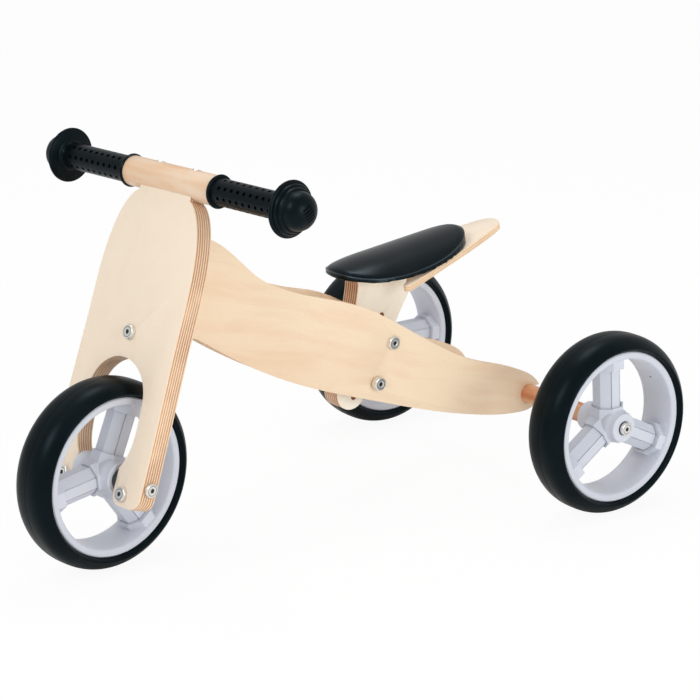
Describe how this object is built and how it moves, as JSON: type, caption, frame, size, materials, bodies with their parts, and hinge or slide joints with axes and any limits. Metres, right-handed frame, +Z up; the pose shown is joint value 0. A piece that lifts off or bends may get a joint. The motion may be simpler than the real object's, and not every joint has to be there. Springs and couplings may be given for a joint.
{
  "type": "children's tricycle",
  "caption": "Wooden children's tricycle with bent plywood side panels, a fork board with a dowel handlebar, a padded saddle and tri-spoke wheels.",
  "frame": {"origin": "on the ground, at the middle of the footprint of the whole tricycle with its fork as parked", "axes": "+Z is up; -Y is the way it travels forward; +X is the rider's left"},
  "size_m": [0.41, 0.6446, 0.3711],
  "materials": {
    "birch_panel": "clear satin lacquer, curved birch plywood",
    "birch_board": "clear satin lacquer, flat birch plywood",
    "birch_core": "clear satin lacquer, birch plywood",
    "beech_dowel": "clear satin lacquer, turned dowel",
    "nylon": "black nylon",
    "zinc_steel": "zinc plated",
    "grip_rubber": "black, slightly glossy",
    "saddle_cover": "black coated fabric, slight sheen",
    "tyre_foam": "black, smooth",
    "wheel_plastic": "light grey, satin"
  },
  "bodies": {
    "frame": {"left_side_panel": "birch_panel", "right_side_panel": "birch_panel", "head_block": "birch_core", "head_dowels": "beech_dowel", "head_bushes": "nylon", "seat_post": "birch_core", "seat_spacers": "nylon", "seat_bolts": "zinc_steel", "seat_sleeve_nuts": "zinc_steel", "seat_dowels": "beech_dowel", "tail_board": "birch_panel", "tail_screws": "zinc_steel", "saddle_board": "birch_core", "saddle_cushion": "saddle_cover", "rear_axle_beam": "beech_dowel", "rear_axle_bolts": "zinc_steel", "rear_thrust_washers": "nylon"},
    "fork": {"fork_board": "birch_board", "handlebar": "beech_dowel", "handlebar_screws": "zinc_steel", "grip_left": "grip_rubber", "grip_right": "grip_rubber", "steering_bracket": "zinc_steel", "bracket_bolt": "zinc_steel", "bracket_nut": "zinc_steel", "bracket_screws": "zinc_steel", "steering_pin": "zinc_steel", "steering_nut": "zinc_steel", "front_axle": "zinc_steel", "front_axle_bolts": "zinc_steel", "front_axle_washers": "nylon", "foot_cross_bolts": "zinc_steel", "foot_cross_nuts": "zinc_steel"},
    "front_wheel": {"front_tyre": "tyre_foam", "front_rim": "wheel_plastic", "front_spokes": "wheel_plastic", "front_hub": "wheel_plastic", "front_hub_bushes": "nylon"},
    "rear_left_wheel": {"rear_left_tyre": "tyre_foam", "rear_left_rim": "wheel_plastic", "rear_left_spokes": "wheel_plastic", "rear_left_hub": "wheel_plastic", "rear_left_hub_bushes": "nylon"},
    "rear_right_wheel": {"rear_right_tyre": "tyre_foam", "rear_right_rim": "wheel_plastic", "rear_right_spokes": "wheel_plastic", "rear_right_hub": "wheel_plastic", "rear_right_hub_bushes": "nylon"}
  },
  "joints": [
    {"name": "steer", "type": "hinge", "parent": "frame", "child": "fork", "pos_m": [0, -0.1507, 0.22125], "axis": [0, 0, 1], "range_deg": [-42.1, 27.9]},
    {"name": "front_wheel_spin", "type": "hinge", "parent": "fork", "child": "front_wheel", "pos_m": [0.01031, -0.23346, 0.089], "axis": [0.9923, 0.1236, 0], "continuous": true},
    {"name": "rear_left_wheel_spin", "type": "hinge", "parent": "frame", "child": "rear_left_wheel", "pos_m": [0.1767, 0.2333, 0.089], "axis": [1, 0, 0], "continuous": true},
    {"name": "rear_right_wheel_spin", "type": "hinge", "parent": "frame", "child": "rear_right_wheel", "pos_m": [-0.1767, 0.2333, 0.089], "axis": [1, 0, 0], "continuous": true}
  ]
}
